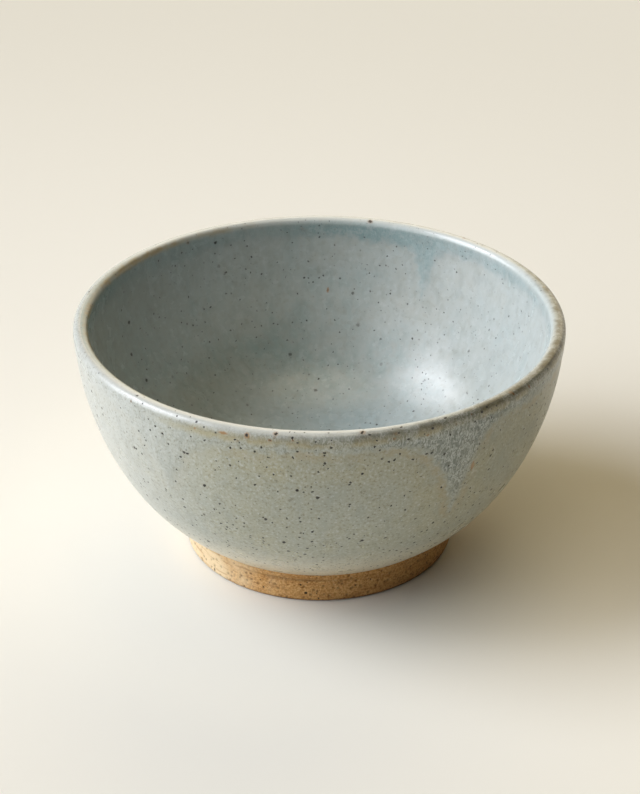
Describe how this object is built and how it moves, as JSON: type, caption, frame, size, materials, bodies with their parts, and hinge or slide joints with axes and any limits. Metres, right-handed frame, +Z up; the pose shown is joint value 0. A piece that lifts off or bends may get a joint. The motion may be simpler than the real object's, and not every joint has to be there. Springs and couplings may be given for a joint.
{
  "type": "prep bowl",
  "caption": "Round stoneware prep bowl: a deep curved wall with a soft rounded lip, speckled blue-grey glaze inside and out, on a bare clay foot ring.",
  "frame": {"origin": "centre of the foot ring's underside, on the surface the bowl stands on", "axes": "+Z up along the axis the bowl is turned about; -Y is the side that faces the viewer, +X is to the viewer's right"},
  "size_m": [0.15, 0.15, 0.0774],
  "materials": {
    "stoneware": "bare fired buff stoneware, matt and sandy, with iron specks",
    "glaze": "satin blue-grey glaze that turns greenish beige where thin, with dark iron specks",
    "overlap_glaze": "satin glaze, bluer where the second coat lies over the first"
  },
  "bodies": {
    "root": {"bowl_body": "stoneware", "foot_ring": "stoneware", "inner_glaze": "glaze", "outer_glaze": "glaze", "inner_rim_coat": "overlap_glaze", "outer_rim_coat": "overlap_glaze"}
  },
  "joints": []
}
